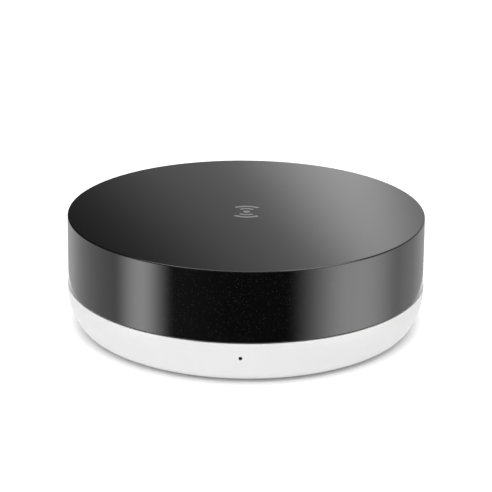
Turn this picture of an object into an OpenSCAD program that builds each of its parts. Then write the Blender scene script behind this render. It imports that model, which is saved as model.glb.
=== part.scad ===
// A round table-top wireless repeater: a black cover on a white base, the board and the antenna inside.
// The front, with the pinhole, faces -Y and the power inlet faces +Y. The table is at Z = 0.

/* [Case] */
// Widest diameter of the base
base_d = 110.9; // [108:0.1:120]
// Height of the base from its underside to the seam
base_h = 13.1; // [12.6:0.1:15]
// Height of the cover above the seam
cover_h = 21.9; // [20:0.1:30]
// How far the base stands proud of the cover all round
base_ledge = 0.25; // [0.1:0.05:0.6]
// How far the cover's wall draws in from the seam to its top
cover_draft = 0.2; // [0.1:0.05:0.6]
// Height that the feet hold the base off the table
foot_stand = 0.4; // [0.2:0.1:1]

/* [Base] */
// Thickness of the base's wall and floor
base_wall = 2.2; // [1.6:0.1:2.6]
// How far the underside draws in from the widest radius
base_pull_in = 7; // [6:0.1:8]
// Height of the straight band between the curved side and the seam
base_band_h = 1.1; // [0.6:0.1:1.6]
// Radius of the tight curve where the side meets the underside
base_toe_r = 5; // [4.4:0.1:5.6]
// Rounding of the edge at the seam
base_rim_round = 0.3; // [0.1:0.05:0.5]
// Gap between the feet and the bare recess in the middle of the underside
label_recess_gap = 8.4; // [4:0.1:14]
// Depth of that recess
label_recess_h = 0.3; // [0.1:0.1:0.5]

/* [Cover] */
// Thickness of the cover's wall
cover_wall = 2.4; // [1.8:0.1:2.8]
// Thickness of the cover's roof
cover_roof = 2.2; // [1.6:0.1:3]
// Rounding of the cover's top edge
cover_edge_round = 0.6; // [0.3:0.1:1.2]
// Height of the shadow gap at the seam
seam_gap_h = 0.3; // [0.2:0.05:0.6]
// Depth of the shadow gap into the cover's wall
seam_gap_depth = 0.8; // [0.4:0.1:1.2]
// How far the cover's lip reaches down inside the base
lip_depth = 2.6; // [1.5:0.1:2.8]
// Thickness of the lip
lip_t = 1.5; // [1:0.1:2]
// How far the lip's root climbs the inside of the wall
lip_root_h = 2.5; // [1.5:0.1:4]
// Gap between the lip and the base
lip_clear = 0.15; // [0.05:0.05:0.3]

/* [Case screws] */
// Diameter of the columns that the screws come up through
column_d = 9; // [8:0.1:10]
// Diameter of the cover's bosses
boss_d = 7; // [5.5:0.1:7.5]
// Gap between a column and the board above it
column_board_gap = 0.5; // [0.3:0.1:1]
// Gap between a column and the boss above it
column_gap = 0.1; // [0.05:0.05:0.3]
// Height of the screw's seat above the underside
screw_seat_h = 3.2; // [3.1:0.1:4]
// Depth of the pilot hole in a boss
pilot_depth = 9; // [8:0.5:12]
// Diameter of the shank
case_shank_d = 2.5; // [2:0.1:3]
// Length of the shank
case_shank_l = 12; // [9:0.5:13]
// Diameter of the head
case_head_d = 5.6; // [4.5:0.1:5.8]
// Height of the head
case_head_h = 2; // [1.5:0.1:2]
// Gap between a shank and the hole that it goes through or is driven into
thread_clear = 0.05; // [0.02:0.01:0.1]
// Gap round a head in its pocket
head_clear = 0.3; // [0.1:0.1:0.5]
// Thickness of the stiffening ribs of the cover's bosses
rib_t = 1.2; // [0.8:0.1:1.6]
// Height of these ribs
rib_h = 12; // [6:0.5:16]

/* [Feet] */
// Diameter of a foot
foot_d = 11.6; // [10:0.1:13]
// Depth that a foot is let into the underside
foot_recess_h = 0.8; // [0.5:0.1:1]
// Gap round a foot in its recess
foot_clear = 0.2; // [0.1:0.1:0.4]
// Width of the flat underside that is left outside the feet
foot_margin = 2.45; // [1:0.05:4]
// Chamfer of the foot's lower edge
foot_chamfer = 0.25; // [0.1:0.05:0.4]

/* [Ballast] */
// Gap between the columns and the edge of the steel plate
ballast_gap = 2.7; // [1:0.1:8]
// Thickness of the plate
ballast_t = 1.5; // [1:0.1:2]
// Height of the bosses under it
ballast_boss_h = 1.6; // [1.2:0.1:2]
// Diameter of these bosses
ballast_boss_d = 6; // [5:0.1:8]
// Distance of the bosses from the edge of the plate
ballast_boss_inset = 9; // [6:0.5:14]
// Thickness of the insulating film
film_t = 0.3; // [0.1:0.1:0.5]
// How far the film stays inside the plate's edge
film_inset = 1; // [0.5:0.1:2]

/* [Main board] */
// Gap between the board and the inside of the base
board_edge_gap = 5.25; // [4.8:0.05:6]
// How much each of the board's two straight sides takes off its round outline
board_flat_cut = 4; // [2:0.5:8]
// Thickness of the board
board_t = 1.6; // [1:0.1:2]
// Distance of a post from the round edge of the board
post_inset = 5.6; // [4.5:0.1:7]
// Angle between a post and the middle line from front to back
post_angle = 19.3; // [17:0.1:22]
// Diameter of a post
post_d = 6; // [5:0.1:7]
// Gap round a boss in the board's hole for it
board_hole_clear = 0.7; // [0.3:0.1:1]

/* [Small screws] */
// Diameter of the shank
small_shank_d = 2.1; // [1.6:0.1:2.3]
// Diameter of the head
small_head_d = 4.2; // [3.5:0.1:4.5]
// Height of the head
small_head_h = 1.5; // [1:0.1:2]
// Length of a board screw's shank
board_shank_l = 6; // [4:0.5:8]
// Length of a ballast screw's shank
ballast_shank_l = 3.8; // [3:0.1:4]
// How far a small hole goes on past the tip of its screw
tip_clear = 0.3; // [0.1:0.1:0.5]

/* [Pinhole and reset switch] */
// Diameter of the pinhole
pinhole_d = 1.1; // [0.8:0.1:1.4]
// Height of the pinhole above the underside
pinhole_h = 8.65; // [8.2:0.05:9]
// Outside diameter of the tube that guides the pin
guide_tube_d = 2.6; // [2.2:0.1:2.8]
// Distance between the guide tube and the plunger
guide_gap = 0.9; // [0.5:0.1:1.5]
// Width of the switch
switch_w = 4.6; // [4:0.1:6]
// Length of the switch, front to back
switch_l = 3.4; // [3:0.1:4]
// Height of the switch
switch_h = 3; // [2.8:0.1:3.4]
// Distance of the switch's face from the front edge of the board
switch_inset = 0.4; // [0:0.1:1]
// Thickness of the metal frame
switch_frame_t = 0.2; // [0.1:0.05:0.3]
// Diameter of the plunger
plunger_d = 1.7; // [1.4:0.1:2]
// How far the plunger stands out of the frame
plunger_out = 1.6; // [1.2:0.1:2]
// Diameter of the flange that keeps it in
flange_d = 2.3; // [2.2:0.05:2.4]
// Thickness of the flange
flange_t = 0.4; // [0.3:0.05:0.5]
// Gap round the plunger and round its flange
plunger_clear = 0.08; // [0.04:0.02:0.12]
// Gap between the flange and the frame at rest
flange_gap = 0.02; // [0.01:0.01:0.05]
// Travel of the plunger
plunger_travel = 0.25; // [0.15:0.05:0.3]
// Gap that is left over the dome at the end of the travel
dome_gap = 0.05; // [0.03:0.01:0.1]
// Thickness of the dome
dome_t = 0.08; // [0.06:0.01:0.12]
// Rise of the dome
dome_rise = 0.3; // [0.2:0.05:0.4]
// Thickness of the switch's legs
terminal_t = 0.25; // [0.15:0.05:0.3]

/* [Power inlet] */
// Width of the metal shell
shell_w = 8.94; // [8:0.02:9.4]
// Height of the shell
shell_h = 3.2; // [3:0.02:3.4]
// Length of the shell
shell_l = 7.3; // [6.5:0.1:8]
// Thickness of its sheet
shell_t = 0.3; // [0.2:0.05:0.4]
// Gap round the shell where it comes through
shell_clear = 0.15; // [0.1:0.05:0.3]
// Width of the recess that takes the plug's body
recess_w = 12.8; // [11:0.1:14]
// Height of this recess
recess_h = 6.6; // [6:0.1:7]
// Radius of its corners
recess_round = 1.8; // [1:0.1:2.4]
// Wall of the collar round the recess
collar_wall = 1; // [0.8:0.1:1]
// How far the socket's mouth lies outside the board's edge
mouth_out = 2.4; // [2:0.1:3]
// Thickness of the collar's back
collar_back = 1.2; // [0.8:0.1:1.4]
// Width of the plastic tongue
tongue_w = 6.7; // [6:0.1:7]
// Thickness of the tongue
tongue_t = 0.7; // [0.6:0.05:0.9]
// How far the tongue's tip stays inside the mouth
tongue_inset = 0.9; // [0.5:0.1:1.5]
// Length of the plastic block that holds the tongue
tongue_block_l = 1.9; // [1.5:0.1:2.5]
// Width of a contact
contact_w = 0.3; // [0.2:0.05:0.4]
// Thickness of a contact
contact_t = 0.1; // [0.06:0.02:0.14]
// Pitch of the contacts
contact_pitch = 1; // [0.8:0.1:1.1]
// How far a contact's tail stands out behind
contact_tail_l = 0.8; // [0.5:0.1:1.2]

/* [Radio] */
// Width of the radio module
module_w = 17; // [15:0.5:18]
// Length of the radio module
module_l = 26; // [24:0.5:28]
// Thickness of the radio module's board
module_t = 0.8; // [0.6:0.1:1]
// Width of the shield can
can_w = 15; // [13:0.5:15]
// Length of the shield can
can_l = 17; // [15:0.5:18]
// Height of the shield can
can_h = 2.2; // [1.8:0.1:3]
// Thickness of the can's sheet
can_t = 0.2; // [0.15:0.05:0.3]
// Side of the radio chip
chip_w = 7; // [5:0.5:9]
// Height of the radio chip
chip_h = 0.85; // [0.6:0.05:1.2]
// Size of the crystal
crystal_size = [3.2, 2.5, 0.7]; // [0.5:0.1:5]
// Distance of the can from the module's front edge
can_inset = 0.7; // [0.3:0.1:1.5]
// Distances of the antenna's socket from the module's right and back edges
jack_inset = [4.2, 2.9]; // [2:0.1:5]

/* [Antenna] */
// Length of the antenna board
antenna_l = 36; // [28:1:40]
// Width of the antenna board
antenna_w = 9; // [7:0.5:12]
// Thickness of the antenna board
antenna_t = 0.8; // [0.4:0.1:1.2]
// Thickness of the tape above it
tape_t = 0.5; // [0.3:0.1:1]
// How far the tape stays inside the board's edge
tape_inset = 1; // [0.5:0.1:2]
// Diameter of the lead
lead_d = 1.1; // [0.8:0.1:1.4]
// Gap between the lead's end and the antenna board above it
lead_drop = 0.3; // [0.1:0.1:0.6]
// How far the lead runs out before it turns up
lead_reach = 16; // [12:0.5:18]
// Outside diameter of the antenna's socket
jack_d = 2; // [1.8:0.1:2.4]
// Height of that socket above its foot
jack_h = 0.9; // [0.7:0.1:1.2]
// Side of the socket's square foot
jack_foot_w = 2.6; // [2.4:0.1:3]
// Thickness of that foot
jack_foot_t = 0.35; // [0.2:0.05:0.5]
// Diameter of the pin in the middle of the socket
jack_pin_d = 0.5; // [0.3:0.05:0.6]
// Wall of the socket's ring
jack_wall = 0.2; // [0.15:0.05:0.3]
// Gap between the ring and the plug round it
plug_clear = 0.08; // [0.04:0.02:0.12]
// Wall of the round plug that goes over the socket
plug_wall = 0.3; // [0.2:0.05:0.4]
// Length of the plug's crimp
crimp_l = 2.4; // [2:0.1:3]

/* [Board parts] */
// Size of the regulator's body
regulator_size = [3.9, 4.9, 1.5]; // [1.2:0.1:6]
// Length of the regulator's legs
regulator_leg_l = 1; // [0.8:0.1:1.2]
// Width of a leg
regulator_leg_w = 0.4; // [0.3:0.05:0.6]
// Thickness of a leg, and the height that the body is held at
regulator_leg_t = 0.15; // [0.1:0.05:0.2]
// Side of the choke
choke_w = 7; // [6:0.1:8]
// Height of the choke
choke_h = 4; // [3:0.1:5]
// Cut corner of the choke
choke_corner = 1.6; // [1:0.1:2]
// Diameter of a capacitor's can
capacitor_d = 6.3; // [5:0.1:6.5]
// Height of a capacitor's can
capacitor_h = 7.2; // [5:0.1:9]
// Side of a capacitor's base
capacitor_base_w = 6.6; // [6.5:0.1:7]
// Height of a capacitor's base
capacitor_base_h = 0.8; // [0.5:0.1:1.2]
// Size of the fuse
fuse_size = [4.5, 3.2, 0.9]; // [0.6:0.1:5]
// Size of the surge diode
diode_size = [4.4, 3.6, 2.2]; // [1.5:0.1:5]
// Size of a ceramic capacitor
ceramic_size = [1.6, 0.8, 0.8]; // [0.5:0.1:2]
// Size of a chip resistor
resistor_size = [1.6, 0.8, 0.45]; // [0.35:0.05:2]
// Length of the metal ends of the small parts
end_l = 0.35; // [0.2:0.05:0.5]
// How far these ends stand proud
end_proud = 0.03; // [0.02:0.01:0.06]
// Gap between the bases of the two capacitors
capacitor_gap = 1.5; // [0.5:0.1:3]
// Gap between a small part and the end of the next in its row
small_part_gap = 2.2; // [1:0.1:3]
// Gap between the radio module and the row of small parts behind it
module_row_gap = 2.9; // [1:0.1:4]

/* [Light] */
// Size of the status light
led_size = [1.6, 0.8, 0.6]; // [0.4:0.1:2]
// Gap between the light and the guide
led_gap = 0.3; // [0.2:0.05:0.5]
// Width of the light guide
guide_w = 3; // [2.5:0.1:4]
// Thickness of the light guide
guide_t = 2; // [1.5:0.1:2.5]
// Height of the guide's arm above the board
guide_rise = 7; // [6:0.1:9]
// Gap between the guide and the cover's wall
guide_wall_gap = 0.4; // [0.3:0.1:0.8]
// Thickness of the guide's bridge over the light
bridge_t = 1.2; // [1:0.1:1.6]
// Length of that bridge
bridge_l = 8; // [7:0.1:10]
// Diameter of the guide's pins
guide_pin_d = 1; // [0.8:0.1:1.2]

/* [Hidden] */
$fn = 96;

// How far a cut runs past the face that it opens
overrun = 0.2;

// The cross in a screw's head: length and width as shares of the head's diameter, depth of its height
slot_shares = [0.6, 0.16, 0.55];

// Levels of the case
base_z = foot_stand;
seam_z = base_z + base_h;
top_z = seam_z + cover_h;
floor_z = base_z + base_wall;
ceiling_z = top_z - cover_roof;

// Radii of the case
base_r = base_d / 2;
base_in_r = base_r - base_wall;
cover_low_r = base_r - base_ledge;
cover_top_r = cover_low_r - cover_draft;
cover_low_in_r = cover_low_r - cover_wall;
cover_top_in_r = cover_top_r - cover_wall;

// The base's side is two arcs that run into each other: a wide one, then the tight one of the toe
base_curve_h = base_h - base_band_h;
base_side_r = (pow(base_pull_in, 2) + pow(base_curve_h, 2) - 2 * base_curve_h * base_toe_r)
    / (2 * (base_pull_in - base_toe_r));
side_center = [base_r - base_side_r, base_z + base_curve_h];
toe_center = [base_r - base_pull_in, base_z + base_toe_r];
arc_joint_way = (toe_center - side_center) / norm(toe_center - side_center);
arc_joint_far = toe_center + arc_joint_way * base_side_r;
// How far out along the line where the arcs meet their two areas overlap, as a share of the toe's radius
arc_overlap_share = 0.8;

// Case screws, each under a foot
foot_ring_r = base_r - base_pull_in - foot_d / 2 - foot_margin;
case_angles = [45 : 90 : 315];
screw_seat_z = base_z + screw_seat_h;
label_recess_r = foot_ring_r - foot_d / 2 - label_recess_gap;

// The board and what hangs under it lie at the height of the pinhole
pinhole_z = base_z + pinhole_h;
board_low_z = pinhole_z + switch_h / 2;
board_top_z = board_low_z + board_t;
board_r = base_in_r - board_edge_gap;
column_top_z = board_low_z - column_board_gap;
boss_low_z = column_top_z + column_gap;
post_ring_r = board_r - post_inset;
post_places = [
    for (x = [-1, 1], y = [-1, 1]) post_ring_r * [x * sin(post_angle), y * cos(post_angle)]
];

// Ballast
ballast_z = floor_z + ballast_boss_h;
ballast_top_z = ballast_z + ballast_t;
ballast_r = foot_ring_r - column_d / 2 - ballast_gap;
ballast_ring_r = ballast_r - ballast_boss_inset;
ballast_angles = [90 : 120 : 330];

// Reset switch, faced towards the front
switch_face_y = switch_inset - board_r;
switch_back_y = switch_face_y + switch_l;
frame_in_y = switch_face_y + switch_frame_t;
flange_y = frame_in_y + flange_gap;
dome_top_y = flange_y + flange_t + plunger_travel + dome_gap;
dome_seat_y = dome_top_y + dome_rise;
well_r = flange_d / 2 + plunger_clear;
plunger_tip_y = switch_face_y - plunger_out;
guide_tube_y = plunger_tip_y - guide_gap;

// Power inlet, faced towards the back
mouth_y = board_r + mouth_out;
shell_back_y = mouth_y - shell_l;
shell_z = board_low_z - shell_h / 2;
collar_in_y = mouth_y - collar_back;
collar_w = recess_w + 2 * collar_wall;
collar_h = recess_h + 2 * collar_wall;
contact_shares = [-2.5, -1.5, -0.5, 0.5, 1.5, 2.5];
tongue_block_y = shell_back_y + tongue_block_l;

// Places on the board, as shares of its radius
module_place_share = [-0.29, 0.08];
antenna_place_share = [0, 0.46];
regulator_place_share = [0.29, 0.46];
regulator_leg_shares = [-0.375, -0.125, 0.125, 0.375];
choke_place_share = [0.29, 0.24];
capacitor_place_share = [0.52, 0.31];
fuse_place_share = [-0.11, 0.75];
diode_place_share = [0.1, 0.75];
led_place_share = [0, -0.88];
capacitor_places = [
    for (i = [0, 1]) board_r * capacitor_place_share - i * [0, capacitor_base_w + capacitor_gap]
];

// Places on the radio module, from its edges, and under its can, as shares of the can's length
module_place = board_r * module_place_share;
can_place = module_place + [0, can_inset + (can_l - module_l) / 2];
chip_share = [0, 0.11];
crystal_share = [0, -0.28];
jack_place = module_place + [module_w / 2 - jack_inset[0], module_l / 2 - jack_inset[1]];

// The small parts stand in rows: the place of the first, the step to the next and how many.
// The row behind the module starts at its right edge and goes left.
ceramic_rows_share = [[[0.13, 0.55], [0, -0.06], 5], [[0.26, 0.08], [0, -0.06], 3]];
resistor_rows_share = [[[0.1, -0.66], [0.08, 0], 4], [[-0.28, -0.66], [0.08, 0], 3]];
module_row = [
    module_place + [(module_w - ceramic_size[0]) / 2, (module_l + ceramic_size[1]) / 2 + module_row_gap],
    [-ceramic_size[0] - small_part_gap, 0],
    4
];

// The shield can stands on the module, and the antenna's socket beside it
module_top_z = board_top_z + module_t;
jack_z = module_top_z + jack_foot_t;
plug_r = jack_d / 2 + plug_clear + plug_wall;
plug_roof_z = jack_z + jack_h + plug_clear;
plug_top_z = plug_roof_z + plug_wall;
lead_z = plug_top_z - lead_d / 2 + plug_wall;
antenna_low_z = ceiling_z - tape_t - antenna_t;
lead_end_z = antenna_low_z - lead_d / 2 - lead_drop;

// The lead's path, one curve that leaves and arrives level
lead_start = concat(jack_place + [plug_r + crimp_l, 0], lead_z);
lead_end = concat(board_r * antenna_place_share, lead_end_z);
lead_turn = [lead_reach, 0, 0];
lead_rings = 30;
lead_sides = 8;

// Light and its guide
led_y = board_r * led_place_share[1];
bridge_z = board_top_z + led_size[2] + led_gap;
guide_arm_z = board_top_z + guide_rise;
guide_pin_x = bridge_l / 2 - guide_pin_d;

// A quarter of a disc between the two positive axes
module quarter_disc(r) {
    intersection() {
        circle(r = r);
        square(r + overrun);
    }
}

// Half section of the base as a solid, drawn in all round by an inset
module base_half_section(inset, rim_round, up) {
    wide_x = base_r - inset;
    low_z = base_z + inset;
    high_z = seam_z + up;
    // The wide arc, above the line where the two arcs meet
    intersection() {
        translate(side_center) circle(r = base_side_r - inset);
        polygon([
            [side_center[0], toe_center[1] - overrun],
            [toe_center[0], toe_center[1] - overrun],
            toe_center + arc_joint_way * (base_toe_r - inset) * arc_overlap_share,
            arc_joint_far,
            [arc_joint_far[0], side_center[1]],
            side_center
        ]);
    }
    // The tight arc of the toe, below that line
    intersection() {
        translate(toe_center) circle(r = base_toe_r - inset);
        polygon([
            toe_center,
            arc_joint_far,
            [arc_joint_far[0], toe_center[1] - base_side_r],
            [toe_center[0], toe_center[1] - base_side_r]
        ]);
    }
    translate([0, low_z]) square([toe_center[0], toe_center[1] - low_z]);
    translate([0, toe_center[1] - overrun])
        square([side_center[0] + overrun, side_center[1] - toe_center[1] + 2 * overrun]);
    // The straight part above the arcs, with its rounded rim
    translate([0, side_center[1]]) square([wide_x, high_z - rim_round - side_center[1]]);
    if (rim_round > 0) {
        translate([0, high_z - rim_round]) square([wide_x - rim_round, rim_round]);
        translate([wide_x - rim_round, high_z - rim_round]) quarter_disc(rim_round);
    }
}

// Half section of the cover's wall and roof, with the shadow gap cut out of its foot
module cover_half_section() {
    shoulder_z = top_z - cover_edge_round;
    shoulder_r = cover_top_r - cover_edge_round;
    difference() {
        union() {
            polygon([[0, seam_z], [cover_low_r, seam_z], [cover_top_r, shoulder_z], [0, shoulder_z]]);
            translate([0, shoulder_z]) square([shoulder_r, cover_edge_round]);
            translate([shoulder_r, shoulder_z]) quarter_disc(cover_edge_round);
        }
        polygon([
            [-overrun, seam_z - overrun],
            [cover_low_in_r, seam_z - overrun],
            [cover_low_in_r, seam_z],
            [cover_top_in_r, ceiling_z],
            [-overrun, ceiling_z]
        ]);
        translate([cover_low_r - seam_gap_depth, seam_z - overrun])
            square([seam_gap_depth + overrun, seam_gap_h + overrun]);
    }
}

// Half section of the lip that goes down inside the base, with its root on the cover's wall
module lip_half_section() {
    lip_out_r = base_in_r - lip_clear;
    lip_in_r = lip_out_r - lip_t;
    translate([lip_in_r, seam_z - lip_depth]) square([lip_t, lip_depth + lip_root_h]);
    translate([lip_in_r, seam_z]) square([cover_low_in_r + cover_wall / 2 - lip_in_r, lip_root_h]);
}

// Copies of a shape round the middle, on a ring
module on_ring(radius, angles) {
    for (angle = angles) rotate(angle) translate([radius, 0]) children();
}

// Copies of a shape at listed places
module at_places(places) {
    for (place = places) translate(place) children();
}

// A place on the board, given as a share of its radius
module on_board(place_share) {
    translate(board_r * place_share) children();
}

// A block that stands centred on a level
module block(size, z) {
    translate([-size[0] / 2, -size[1] / 2, z]) cube(size);
}

// A rounded rectangle, centred
module rounded_outline(w, h, r) {
    hull() for (x = [-1, 1], y = [-1, 1])
        translate([x * (w / 2 - r), y * (h / 2 - r)]) circle(r = r, $fn = 32);
}

// An outline drawn in the upright plane and pushed out along +Y from one place to another
module along_y(from_y, to_y, z) {
    translate([0, to_y, z]) rotate([90, 0, 0]) linear_extrude(height = to_y - from_y) children();
}

// A round bar or hole along +Y
module rod_y(r, from_y, to_y, z) {
    translate([0, from_y, z]) rotate([-90, 0, 0]) cylinder(r = r, h = to_y - from_y);
}

// A pan-head screw, its head upwards and its seat at Z = 0, with a cross cut in the head
module screw(shank_d, shank_l, head_d, head_h) {
    slot_l = head_d * slot_shares[0];
    slot_w = head_d * slot_shares[1];
    slot_h = head_h * slot_shares[2];
    difference() {
        union() {
            cylinder(d = head_d, h = head_h);
            translate([0, 0, -shank_l]) cylinder(d = shank_d, h = shank_l + overrun);
        }
        for (turn = [0, 90]) rotate(turn) translate([-slot_l / 2, -slot_w / 2, head_h - slot_h])
            cube([slot_l, slot_w, slot_h + overrun]);
    }
}

// A small part with metal ends, standing on the board
module small_part(size) {
    block([size[0] - 2 * end_l, size[1], size[2]], board_top_z);
    for (side = [-1, 1]) translate([side * (size[0] - end_l) / 2, 0])
        block([end_l, size[1] + 2 * end_proud, size[2] + end_proud], board_top_z);
}

// A row of places on the board, given in shares of its radius
function row_on_board(row_share) = [board_r * row_share[0], board_r * row_share[1], row_share[2]];

// A row of small parts on the board
module part_row(row, size) {
    for (i = [0 : row[2] - 1]) translate(row[0] + i * row[1]) small_part(size);
}

// The black drum: wall, roof, lip, and the bosses that the case screws hold
module top_cover() {
    color("#1a1a1c") difference() {
        union() {
            rotate_extrude() {
                cover_half_section();
                lip_half_section();
            }
            on_ring(foot_ring_r, case_angles) translate([0, 0, boss_low_z])
                cylinder(d = boss_d, h = ceiling_z + overrun - boss_low_z);
            for (angle = case_angles) rotate(angle) translate([foot_ring_r, -rib_t / 2, ceiling_z - rib_h])
                cube([cover_top_in_r + cover_wall / 2 - foot_ring_r, rib_t, rib_h + overrun]);
        }
        on_ring(foot_ring_r, case_angles) translate([0, 0, boss_low_z - overrun])
            cylinder(r = case_shank_d / 2 + thread_clear, h = pilot_depth + overrun);
        // The lip is open where the collar of the power inlet stands
        translate([-collar_w / 2 - lip_clear, 0, seam_z - lip_depth - overrun])
            cube([collar_w + 2 * lip_clear, base_r, lip_depth + overrun]);
    }
}

// The white cup: curved side, floor, columns, posts, the inlet's collar and the pin's guide
module base_shell() {
    color("#f4f4f2") difference() {
        union() {
            rotate_extrude() difference() {
                base_half_section(0, base_rim_round, 0);
                base_half_section(base_wall, 0, overrun);
            }
            on_ring(foot_ring_r, case_angles) translate([0, 0, floor_z - overrun])
                cylinder(d = column_d, h = column_top_z + overrun - floor_z);
            at_places(post_places) translate([0, 0, floor_z - overrun])
                cylinder(d = post_d, h = board_low_z + overrun - floor_z);
            on_ring(ballast_ring_r, ballast_angles) translate([0, 0, floor_z - overrun])
                cylinder(d = ballast_boss_d, h = ballast_boss_h + overrun);
            intersection() {
                along_y(collar_in_y, base_r, shell_z)
                    rounded_outline(collar_w, collar_h, recess_round + collar_wall);
                rotate_extrude() base_half_section(base_wall / 2, 0, 0);
            }
            rod_y(guide_tube_d / 2, -base_in_r - base_wall / 4, guide_tube_y, pinhole_z);
        }
        // Feet, screw heads and screw shanks, from below
        on_ring(foot_ring_r, case_angles) {
            translate([0, 0, base_z - overrun])
                cylinder(r = foot_d / 2 + foot_clear, h = foot_recess_h + overrun);
            translate([0, 0, base_z])
                cylinder(r = case_head_d / 2 + head_clear, h = screw_seat_h);
            cylinder(r = case_shank_d / 2 + thread_clear, h = column_top_z + overrun);
        }
        translate([0, 0, base_z - overrun]) cylinder(r = label_recess_r, h = label_recess_h + overrun);
        // Blind holes for the small screws, from above
        at_places(post_places) translate([0, 0, board_top_z - board_shank_l - tip_clear])
            cylinder(r = small_shank_d / 2 + thread_clear, h = board_shank_l + tip_clear);
        on_ring(ballast_ring_r, ballast_angles)
            translate([0, 0, ballast_top_z - ballast_shank_l - tip_clear])
                cylinder(r = small_shank_d / 2 + thread_clear, h = ballast_shank_l + tip_clear);
        // The plug's recess, the hole for the socket in its back, and the pinhole
        along_y(mouth_y, base_r + overrun, shell_z) rounded_outline(recess_w, recess_h, recess_round);
        along_y(collar_in_y - overrun, mouth_y + overrun, shell_z) shell_outline(shell_clear);
        rod_y(pinhole_d / 2, -base_r - overrun, guide_tube_y + overrun, pinhole_z);
    }
}

// The four pads, each with a chamfered lower edge
module rubber_feet() {
    color("#2b2b2b") on_ring(foot_ring_r, case_angles) rotate_extrude() polygon([
        [0, 0],
        [foot_d / 2 - foot_chamfer, 0],
        [foot_d / 2, foot_chamfer],
        [foot_d / 2, foot_stand + foot_recess_h],
        [0, foot_stand + foot_recess_h]
    ]);
}

// The four screws that come up through the columns
module case_screws() {
    color("silver") on_ring(foot_ring_r, case_angles) translate([0, 0, screw_seat_z])
        mirror([0, 0, 1]) screw(case_shank_d, case_shank_l, case_head_d, case_head_h);
}

// The steel disc, with its three holes
module ballast_plate() {
    color("#8d9094") difference() {
        translate([0, 0, ballast_z]) cylinder(r = ballast_r, h = ballast_t);
        on_ring(ballast_ring_r, ballast_angles) translate([0, 0, ballast_z - overrun])
            cylinder(r = small_shank_d / 2 + head_clear, h = ballast_t + 2 * overrun);
    }
}

// The three screws that hold the plate
module ballast_screws() {
    color("silver") on_ring(ballast_ring_r, ballast_angles) translate([0, 0, ballast_top_z])
        screw(small_shank_d, ballast_shank_l, small_head_d, small_head_h);
}

// The sheet that lies on the plate, open round the screw heads
module insulating_film() {
    color("#d9c46a") difference() {
        translate([0, 0, ballast_top_z]) cylinder(r = ballast_r - film_inset, h = film_t);
        on_ring(ballast_ring_r, ballast_angles) translate([0, 0, ballast_top_z - overrun])
            cylinder(r = small_head_d / 2 + head_clear, h = film_t + 2 * overrun);
    }
}

// The round circuit board with two straight sides and its holes
module main_board() {
    color("#1f6b3a") difference() {
        intersection() {
            translate([0, 0, board_low_z]) cylinder(r = board_r, h = board_t);
            block([2 * (board_r - board_flat_cut), base_d, board_t + 2 * overrun], board_low_z - overrun);
        }
        on_ring(foot_ring_r, case_angles) translate([0, 0, board_low_z - overrun])
            cylinder(r = boss_d / 2 + board_hole_clear, h = board_t + 2 * overrun);
        at_places(post_places) translate([0, 0, board_low_z - overrun])
            cylinder(r = small_shank_d / 2 + head_clear, h = board_t + 2 * overrun);
        for (side = [-1, 1]) translate([side * guide_pin_x, led_y, board_low_z - overrun])
            cylinder(r = guide_pin_d / 2 + thread_clear, h = board_t + 2 * overrun);
    }
}

// The four screws that hold the board to its posts
module board_screws() {
    color("silver") at_places(post_places) translate([0, 0, board_top_z])
        screw(small_shank_d, board_shank_l, small_head_d, small_head_h);
}

// The radio's own board
module radio_module_board() {
    color("#123f86") translate(module_place) block([module_w, module_l, module_t], board_top_z);
}

// The folded lid over the radio's parts
module radio_shield_can() {
    color("#c6c9cc") translate(can_place) difference() {
        block([can_w, can_l, can_h], module_top_z);
        block([can_w - 2 * can_t, can_l - 2 * can_t, can_h - can_t + overrun], module_top_z - overrun);
    }
}

// The radio's processor
module radio_chip() {
    color("#202020") translate(can_place + can_l * chip_share)
        block([chip_w, chip_w, chip_h], module_top_z);
}

// The crystal that keeps its time
module reference_crystal() {
    color("#d8d8d8") translate(can_place + can_l * crystal_share) block(crystal_size, module_top_z);
}

// The coaxial socket: a square foot, a ring and a pin
module antenna_socket() {
    color("gold") translate(jack_place) {
        block([jack_foot_w, jack_foot_w, jack_foot_t], module_top_z);
        translate([0, 0, module_top_z]) difference() {
            cylinder(d = jack_d, h = jack_foot_t + jack_h);
            translate([0, 0, jack_foot_t]) cylinder(r = jack_d / 2 - jack_wall, h = jack_h + overrun);
        }
        translate([0, 0, module_top_z]) cylinder(d = jack_pin_d, h = jack_foot_t + jack_h);
    }
}

// The round plug over that socket, with its crimp round the lead's end
module antenna_plug() {
    color("#c9a94f") translate(jack_place) difference() {
        union() {
            translate([0, 0, jack_z + plug_clear])
                cylinder(r = plug_r, h = plug_top_z - jack_z - plug_clear);
            translate([0, -lead_d / 2, lead_z - lead_d / 2]) cube([plug_r + crimp_l, lead_d, lead_d]);
        }
        translate([0, 0, module_top_z])
            cylinder(r = jack_d / 2 + plug_clear, h = plug_roof_z - module_top_z);
    }
}

// A point on the lead's curve and the way that it runs there
function lead_point(u) = pow(1 - u, 3) * lead_start + 3 * pow(1 - u, 2) * u * (lead_start + lead_turn)
    + 3 * (1 - u) * pow(u, 2) * (lead_end + lead_turn) + pow(u, 3) * lead_end;
function lead_way(u) = pow(1 - u, 2) * lead_turn + 2 * (1 - u) * u * (lead_end - lead_start)
    - pow(u, 2) * lead_turn;
function lead_ring(u) = let (
        way = lead_way(u) / norm(lead_way(u)),
        up = cross(way, [0, 1, 0]) / norm(cross(way, [0, 1, 0])),
        side = cross(up, way)
    ) [for (i = [0 : lead_sides - 1]) lead_point(u) + lead_d / 2
        * (cos(360 * i / lead_sides) * up + sin(360 * i / lead_sides) * side)];

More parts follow.
